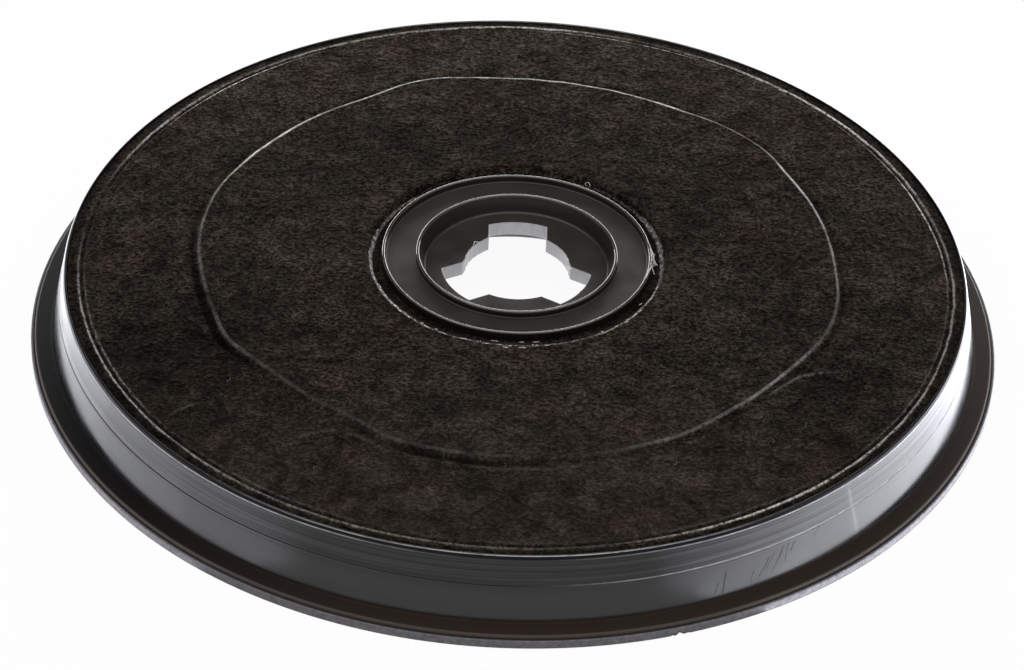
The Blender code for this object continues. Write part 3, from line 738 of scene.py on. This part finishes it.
# How far each point rises: the pressed middle, its crest and the hollow outside it, then soft
# unevenness and the two seal lines near the rim, with the groove between them
roundness = around(CREASE_ROUND, degrees)
hollow = around(CREASE_HOLLOW, degrees)
crease_glaze = np.clip(around(CREASE_GLAZE_HIGHLIGHT, degrees), 0, 1)
inside = np.where(from_crease < 0, np.clip(1 + from_crease / PLATEAU_RUN, 0, 1), 1)
plateau = PLATEAU * ease((0.9 - from_crease) / 2.0) * inside
rise += 0.24 * hump(from_crease + 0.2, roundness) - 0.2 * plateau / PLATEAU
hollow = hollow * hump(from_crease - 0.9 - roundness, 0.55 + 0.5 * roundness)
rise -= hollow
open_felt = ease((radius - 38) / 3) * ease((106 - radius) / 3)
clouds = np.array([noise.fractal(Vector((x / 14, y / 14, 3.0)), 0.9, 2.0, 3) for x, y in spots[:, :2]])
rise += 0.3 * clouds * open_felt
past_seal = radius - around(SEAL_REACH, degrees)
rise += 0.16 * hump(past_seal, 0.45) + 0.12 * hump(past_seal + SEAL_PITCH, 0.5)
rise -= 0.6 * hump(past_seal + SEAL_PITCH / 2, 0.4)
rise -= 0.9 * ease((radius - 109.4) / 0.8) * np.clip(-np.sin(turned), 0, 1) ** 2
spots[:, 2] += plateau * open_felt + np.where(on_top, rise, 0)
felt_cover.data.vertices.foreach_set("co", (spots * MM).ravel())
bpy.ops.object.shade_smooth_by_angle(angle=math.radians(60))

# What the finish reads at each point: how far off each line is in mm, how glazed it is there, which also
# sets its painted highlight, and how much painted shade it gets
marks = {
    "crease_gap": from_crease + 0.25,
    "outer_gap": past_seal + SEAL_SWAY / 2,
    "inner_gap": past_seal + SEAL_PITCH + SEAL_SWAY / 2,
    "hub_gap": radius - around(HUB_SEAL_REACH, degrees) + SEAL_SWAY / 2,
    "crease_glaze": crease_glaze,
    "crease_width": 0.6 + 0.45 * crease_glaze - np.minimum(0.3, crease_glaze),
    "hollow": hollow,
    "fold_gap": fold_gap,
    "fold_glaze": fold_glaze,
    "outer_seal": np.clip(around(OUTER_SEAL, degrees), 0, 1),
    "inner_seal": np.clip(around(INNER_SEAL, degrees), 0, 1),
    "hub_seal": np.clip(around(HUB_SEAL, degrees), 0, 1),
    "hub_width": around(HUB_SEAL_WIDTH, degrees),
    "nap": 1 - sum(dark * hump(np.hypot(spots[:, 0] - x, spots[:, 1] - y), wide) for x, y, wide, dark in NAP_SHADE),
}
for name, values in marks.items():
    mark = felt_cover.data.attributes.new(name, "FLOAT", "POINT")
    mark.data.foreach_set("value", np.asarray(values, dtype=np.float32))

# The same felt, with what the heat did to it: along the crease, the folds and the seals the fibres have
# melted to a smoother glaze that shines, and a painted highlight of pale grey lies along them, broken up
# where single fibres stand out of it.
GLAZE_HIGHLIGHT_GREY = "#dddbd6"
FELT_WARM = (1.05, 0.93, 0.93, 1)
felt, shader = new_material("needled_felt_heat_sealed")
place = add_node(felt, "TexCoord").outputs["Object"]
tufts = felt_tufts(felt, place)
cloud = add_node(
    felt, "TexNoise", {},
    {"Vector": place, "Scale": 1 / (FELT_CLOUD_MM * MM), "Detail": 4.0, "Roughness": 0.6},
)
# Painted highlight and shade: where the tufts stand higher the felt takes the paler fibre colour, and in the
# gaps the dark ground colour.
lit = add_node(felt, "MapRange", SMOOTH, [tufts, 0.42, 0.78])
patch = add_node(felt, "MapRange", SMOOTH, [cloud, 0.34, 0.66])
ground = add_node(felt, "Mix", COLOURS, [patch, linear("#0c0a09"), linear(FELT_DARK)])
fibre = add_node(felt, "Mix", COLOURS, [patch, linear("#3c352e"), linear(FELT_FIBRE_HIGHLIGHT)])
split = add_node(felt, "SeparateXYZ", {}, [place])
# Painted shade: toward the near side the fibres' paler tone is toned down, and their relief is lowered too.
near_dimming = add_node(felt, "MapRange", SMOOTH, [split.outputs["Y"], -100 * MM, -30 * MM, 0.55, 0.92])
lit = add_node(felt, "Mix", NUMBERS, [near_dimming, 0.4, lit])
felt_tone = add_node(felt, "Mix", COLOURS, [lit, ground, fibre])
warm_cloud = add_node(felt, "TexNoise", {}, {"Vector": place, "Scale": 1 / (17 * MM), "Detail": 2.0})
warmth = add_node(felt, "MapRange", SMOOTH, [warm_cloud, 0.5, 0.64])
warm_tone = add_node(
    felt, "Mix", {"data_type": "RGBA", "blend_type": "MULTIPLY"}, [warmth, felt_tone, FELT_WARM]
)
ragged = add_node(
    felt, "TexNoise", {}, {"Vector": place, "Scale": 1 / (0.9 * MM), "Detail": 4.0, "Roughness": 0.7}
)
drift = add_node(
    felt, "TexNoise", {},
    {"Vector": place, "Scale": 1 / (6.5 * MM), "Detail": 4.0, "Roughness": 0.62, "Distortion": 0.8},
)
unevenness_and_painted_light = add_node(felt, "MapRange", {}, [drift, 0.32, 0.68, 0.5, 1.52])
# Painted sheen: the felt is painted up to 1.3 times brighter toward the far side.
painted_far_sheen = add_node(felt, "MapRange", SMOOTH, [split.outputs["Y"], 30 * MM, 95 * MM, 1, 1.3])


def mark_value(name):
    """Reads one of the marks that the points of the face carry."""
    return add_node(felt, "Attribute", {"attribute_name": name}).outputs["Fac"]


# The painted far sheen and the painted shade patches are multiplied into the unevenness.
unevenness_and_painted_light = joined(felt, TIMES, [unevenness_and_painted_light, painted_far_sheen, mark_value("nap")])


def glaze_highlight_line(gap, half_width, glaze, holes):
    """A glazed line where the gap is small, half as wide as given in mm, with ragged holes in it. Its pale
    grey is a painted highlight.
    """
    size = add_node(felt, "Math", SIZE, [gap])
    share = add_node(felt, "Math", {"operation": "DIVIDE"}, [size, half_width])
    body = add_node(felt, "MapRange", SMOOTH, [share, 0.2, 1.2, 1, 0])
    broken = add_node(felt, "MapRange", SMOOTH, [ragged, holes, holes + 0.2, 0.15, 1])
    return joined(felt, TIMES, [body, broken, glaze])


frayed = add_node(felt, "Math", TIMES_PLUS, [ragged, -0.5, mark_value("crease_gap")])
wobble = add_node(
    felt, "TexNoise", {}, {"Vector": place, "Scale": 1 / (5 * MM), "Detail": 3.0, "Roughness": 0.7}
)
patchy = add_node(felt, "MapRange", {}, [wobble, 0.35, 0.6, 0.5, 1.15])
patchy = add_node(
    felt, "Math", {"operation": "MULTIPLY", "use_clamp": True}, [patchy, mark_value("crease_glaze")]
)
glazed = [
    glaze_highlight_line(frayed, mark_value("crease_width"), patchy, 0.3),
    glaze_highlight_line(mark_value("fold_gap"), 0.6, mark_value("fold_glaze"), 0.34),
]
hub_width = mark_value("hub_width")
for name, half_width, holes in (("outer", 0.36, 0.36), ("inner", 0.32, 0.4), ("hub", hub_width, 0.44)):
    swayed = add_node(felt, "Math", TIMES_PLUS, [wobble, -SEAL_SWAY, mark_value(name + "_gap")])
    glazed.append(glaze_highlight_line(swayed, half_width, mark_value(name + "_seal"), holes))
sealed = joined(felt, LARGER, glazed)
# Painted shade: the felt is painted darker in the hollow outside the crease and in the margin by the hub's
# bead, and darker beyond the outer seal; the unevenness with its painted light is multiplied in.
shade_and_unevenness = add_node(felt, "MapRange", SMOOTH, [mark_value("hollow"), 0, 0.7, 1, 0.25])
margin = add_node(felt, "MapRange", SMOOTH, [mark_value("outer_gap"), 0.8, 1.6, 1, 0.6])
hub_margin_shadow = add_node(felt, "MapRange", SMOOTH, [mark_value("hub_gap"), -0.6, 1.4, 0.45, 1])
shade_and_unevenness = joined(felt, TIMES, [margin, hub_margin_shadow, shade_and_unevenness, unevenness_and_painted_light])
shaded = add_node(felt, "VectorMath", {"operation": "SCALE"}, [warm_tone, shade_and_unevenness])
# Painted highlight: the glazed lines are painted pale grey.
tone = add_node(felt, "Mix", COLOURS, [sealed, shaded, linear(GLAZE_HIGHLIGHT_GREY)])
glossed = add_node(felt, "MapRange", {}, [sealed, 0, 1, 0.03, 0.5])
dullness = add_node(felt, "MapRange", {}, [sealed, 0, 1, 0.95, 0.4])
standing = add_node(felt, "Math", TIMES, [near_dimming, 0.6])
dents = add_node(felt, "Bump", {}, {"Height": drift, "Strength": 1.0, "Distance": 4 * MM})
relief = add_node(
    felt, "Bump", {}, {"Height": tufts, "Strength": standing, "Distance": 0.18 * MM, "Normal": dents}
)
fill(shader, {"Base Color": tone, "Specular IOR Level": glossed, "Roughness": dullness, "Normal": relief})
felt_cover.data.materials.append(felt)
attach(felt_cover, "root")
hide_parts("upper_felt")

# Strands: polyester threads that melted and set where the felt was heat sealed to the hub, long where
# they cross the groove on the +X side and short elsewhere. They are stuck to the seal.
STRAND_THICK = 0.23
# Points of the long ones: (distance from the axis, degrees, height)
LONG_STRANDS = [
    [(33.0, 12, 22.98), (33.25, 7.5, 22.9), (33.9, 1.5, 22.0), (32.95, -2.5, 23.0), (34.3, -3, 21.8),
     (33.2, -8, 22.9), (33.0, -15, 22.98)],
    [(33.3, 3, 22.8), (34.2, -0.5, 21.7), (33.4, -6, 22.7), (34.4, -9, 21.6)],
    [(33.1, 5.5, 22.95), (34.1, 4, 21.9), (33.5, -1, 22.5), (34.8, -2, 21.3)],
    [(34.0, 75.8, 22.2), (34.5, 75, 21.6), (34.2, 73.6, 21.5)],
    [(35.9, 60.2, 21.8), (36.5, 61.4, 22.3), (36.1, 62.8, 21.9), (35.6, 61.8, 21.7)],
]
# Dashes along the seal: (distance from the axis, degrees at its two ends)
DASHES = [
    (38.4, 250.7, 253.0), (34.62, 261.2, 264.0), (34.4, 272.3, 274.3), (34.55, 277.9, 280.3),
    (39.1, 266.5, 268.3), (39.05, 272.1, 274.6), (37.72, 212.6, 214.0), (38.2, 222.6, 224.6),
    (38.33, 228, 229.2), (38.5, 236, 238.2), (38.43, 244, 245.2), (36.55, 339.4, 341.4),
    (37.3, 331.2, 332.8), (35.1, 330, 331.4), (38.3, 314.1, 315.7), (38.05, 309.6, 311.2),
    (38.5, 304, 306.4),
]


def draw_strands(name, lines, thick):
    """Draws open lines of points in mm and turns them into one mesh of thin closed threads."""
    bpy.ops.object.select_all(action="DESELECT")
    bpy.ops.mesh.primitive_plane_add(size=MM)
    piece = bpy.context.object
    piece.name = name
    bpy.ops.object.mode_set(mode="EDIT")
    bpy.ops.mesh.select_mode(type="VERT")
    bpy.ops.mesh.merge(type="CENTER")
    last = (0, 0, 0)
    for number, line in enumerate(lines):
        if number:
            step = [(b - a) * MM for a, b in zip(last, line[0])]
            bpy.ops.mesh.duplicate_move(TRANSFORM_OT_translate={"value": step})
        else:
            bpy.ops.transform.translate(value=[c * MM for c in line[0]])
        for here, there in zip(line, line[1:]):
            step = [(b - a) * MM for a, b in zip(here, there)]
            bpy.ops.mesh.extrude_vertices_move(TRANSFORM_OT_translate={"value": step})
        last = line[-1]
    bpy.ops.object.mode_set(mode="OBJECT")
    bpy.ops.object.convert(target="CURVE")
    piece = bpy.context.object
    piece.data.bevel_depth = thick / 2 * MM
    piece.data.bevel_resolution = 1
    piece.data.use_fill_caps = True
    bpy.ops.object.convert(target="MESH")
    piece = bpy.context.object
    bpy.ops.object.shade_smooth_by_angle(angle=math.radians(60))
    return piece


# Seeded, so that the short strands and the lint after them fall the same way each time
chance = np.random.default_rng(7)
threads = [[polar(*corner) for corner in line] for line in LONG_STRANDS]
dashes = list(DASHES)
for _ in range(26):
    start = chance.uniform(165, 352)
    reach = float(around(HUB_SEAL_REACH, start)) + chance.uniform(-0.3, 0.3)
    dashes.append((reach, start, start + chance.uniform(0.3, 1.2)))
for reach, start, end in dashes:
    line = []
    for share in (0, 0.5, 1):
        out = reach + chance.uniform(-0.15, 0.15)
        line.append(polar(out, start + (end - start) * share, float(face_height(out)) + 0.12))
    threads.append(line)
hub_strands = draw_strands("hub_seal_strands", threads, STRAND_THICK)

# Pale grey and glossy where the melt set
melted, shader = new_material("melted_polyester_thread")
place = add_node(melted, "TexCoord").outputs["Object"]
burnt = add_node(melted, "TexNoise", {}, {"Vector": place, "Scale": 1 / (1.5 * MM), "Detail": 2.0})
tone = add_node(melted, "Mix", COLOURS, [burnt, linear("#8f8c88"), linear("#efece6")])
fill(shader, {"Base Color": tone, "Roughness": 0.3})
hub_strands.data.materials.append(melted)
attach(hub_strands, "root")

# Lint: short loose fibres of the felt's polyester, curled and a little paler than it. They lie on the face
# as they fell, held by nothing but the nap.
LINT_THICK = 0.1
LINT_STEP = 0.45
LINT_DROP = 78
lint = []
for _ in range(46):
    r, angle = math.sqrt(chance.uniform(40**2, 104**2)), chance.uniform(0, math.tau)
    x, y = r * math.cos(angle), r * math.sin(angle)
    lie, curl = chance.uniform(0, math.tau), chance.uniform(-0.9, 0.9)
    line = []
    for step in range(5):
        out = math.hypot(x, y)
        raised = PLATEAU * max(0, 1 - (LINT_DROP - out) / PLATEAU_RUN) if out < LINT_DROP else 0.1
        line.append((x, y, float(face_height(out)) + raised + 0.1))
        x += LINT_STEP * math.cos(lie)
        y += LINT_STEP * math.sin(lie)
        lie += curl
    lint.append(line)
felt_lint = draw_strands("felt_lint", lint, LINT_THICK)
loose, shader = new_material("loose_polyester_fibre")
place = add_node(loose, "TexCoord").outputs["Object"]
faded = add_node(loose, "TexNoise", {}, {"Vector": place, "Scale": 1 / (9 * MM), "Detail": 1.0})
tone = add_node(loose, "Mix", COLOURS, [faded, linear("#2a2622"), linear("#8d867d")])
fill(shader, {"Base Color": tone, "Roughness": 0.8})
felt_lint.data.materials.append(loose)
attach(felt_lint, "root")

# Flash in the bayonet hole: polypropylene that the mould squeezed out, left as thin pale threads up the
# slots' corners and torn ones on the two far lands. It has grown on to the base moulding.
FLASH_THICK = 0.22
FLASH_REACH = 18.42
TORN_FLASH = [
    [(13.5, 25, 18.4), (12.8, 21, 18.6), (13.3, 15, 18.3)],
    [(13.2, 8, 18.5), (12.6, 5, 18.2), (13.4, 1, 18.4), (13.7, -1, 18.5)],
    [(13.5, 144, 18.5), (13.9, 140, 18.9), (13.2, 136, 18.5)],
    [(13.0, 150, 18.4), (12.5, 155, 18.5), (12.9, 162, 18.4)],
]
flash = []
for turn in (67.1, 112.9, 187.1, 352.9):
    flash.append([polar(FLASH_REACH, turn, PLATE_BOTTOM + 0.2), polar(FLASH_REACH, turn, PLATE_TOP - 0.05)])
flash += [[polar(*corner) for corner in line] for line in TORN_FLASH]
hole_flash = draw_strands("hole_flash", flash, FLASH_THICK)
torn_flash, shader = new_material("torn_polypropylene_flash")
fill(shader, {"Base Color": linear("#d5d4d8"), "Roughness": 0.4})
hole_flash.data.materials.append(torn_flash)
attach(hole_flash, "root")

# Stage: a plain white floor under soft studio light. The floor takes the filter's shadow, and the
# camera and the shiny plastic both see it as white.
bpy.ops.object.select_all(action="DESELECT")
bpy.ops.mesh.primitive_plane_add(size=6)
floor = bpy.context.object
floor.name = "studio_floor"
white_floor, shader = new_material("white_floor")
fill(shader, {"Base Color": linear("#f2f2f2"), "Roughness": 0.9})
rays = add_node(white_floor, "LightPath")
kinds = [rays.outputs[kind + " Ray"] for kind in ("Is Camera", "Is Glossy", "Is Transmission")]
share = add_node(white_floor, "Math", TIMES, [joined(white_floor, LARGER, kinds), 0.94])
paper = add_node(white_floor, "Emission", {}, {"Color": (1, 1, 1, 1), "Strength": 1.0})
mixed = add_node(white_floor, "MixShader", {}, [share, shader, paper])
fill(white_floor.node_tree.nodes["Material Output"], {"Surface": mixed})
floor.data.materials.append(white_floor)

sky = bpy.data.worlds.new("studio")
bpy.context.scene.world = sky
sky.use_nodes = True
direction = add_node(sky, "TexCoord").outputs["Generated"]
upward = add_node(sky, "SeparateXYZ", {}, [direction])
dimming = add_node(sky, "MapRange", SMOOTH, [upward.outputs["Z"], 0, 0.22, 1, 0.16])
straight = add_node(sky, "LightPath").outputs["Is Camera Ray"]
strength = add_node(sky, "Math", LARGER, [dimming, straight])
fill(sky.node_tree.nodes["Background"], {"Color": (1, 1, 1, 1), "Strength": strength})

# Lamps: a broad softbox overhead, a lit backdrop low behind, and lit panels in the table round the filter
# that only shiny plastic shows: name, middle, turn in degrees, size in metres, and brightness, where 1 is
# white. The table's panels lie in rows from far to near on each side, so their brightness falls in steps.
LAMPS = [
    ("overhead_softbox", (0.0, -0.2, 1.6), (0, 0, 0), (3.0, 2.2), 1.6),
    ("lit_backdrop", (0.0, 2.2, 0.34), (90, 0, 180), (4.0, 0.66), 6.0),
    ("glow_under_hub", (0.0, 0.0, 0.0003), (180, 0, 0), (0.072, 0.072), 1.25),
    ("table_right_1", (0.33, 0.15, 0.0003), (180, 0, 0), (0.54, 0.466), 5.4),
    ("table_right_2", (0.33, -0.094, 0.0003), (180, 0, 0), (0.54, 0.022), 4.6),
    ("table_right_3", (0.33, -0.115, 0.0003), (180, 0, 0), (0.54, 0.02), 3.3),
    ("table_right_4", (0.33, -0.136, 0.0003), (180, 0, 0), (0.54, 0.022), 1.9),
    ("table_left_1", (-0.33, 0.19, 0.0003), (180, 0, 0), (0.52, 0.39), 2.6),
    ("table_left_2", (-0.33, -0.027, 0.0003), (180, 0, 0), (0.52, 0.044), 2.2),
    ("table_left_3", (-0.33, -0.07, 0.0003), (180, 0, 0), (0.52, 0.042), 1.85),
    ("table_left_4", (-0.33, -0.11, 0.0003), (180, 0, 0), (0.52, 0.038), 1.4),
]
TABLE_TINT = (0.9, 0.92, 1.0)
for name, middle, turn, size, brightness in LAMPS:
    bpy.ops.object.light_add(type="AREA", location=middle, rotation=[math.radians(a) for a in turn])
    lamp = bpy.context.object
    lamp.name = name
    lamp.data.shape = "ELLIPSE" if name == "glow_under_hub" else "RECTANGLE"
    lamp.data.size, lamp.data.size_y = size
    lamp.data.energy = brightness * math.pi * size[0] * size[1]
    lamp.data.color = TABLE_TINT if name.startswith("table") else (1, 1, 1)
    lamp.visible_camera = False

# Camera: the photograph's view, from 0.9 m away, 37 degrees up and turned a little on its axis
ELEVATION = math.radians(37.1335)
ROLL = math.radians(2.4508)
AWAY = 0.9
bpy.ops.object.camera_add()
camera = bpy.context.object
camera.name = "camera"
camera.data.lens = 126.23
camera.data.sensor_width = 36
camera.data.shift_x = -0.0018
camera.data.shift_y = -0.0094
eye = Matrix.Translation((0, -AWAY * math.cos(ELEVATION), AWAY * math.sin(ELEVATION)))
camera.matrix_world = eye @ Matrix.Rotation(math.pi / 2 - ELEVATION, 4, "X") @ Matrix.Rotation(ROLL, 4, "Z")
bpy.context.scene.camera = camera
bpy.context.scene.view_settings.view_transform = "Standard"
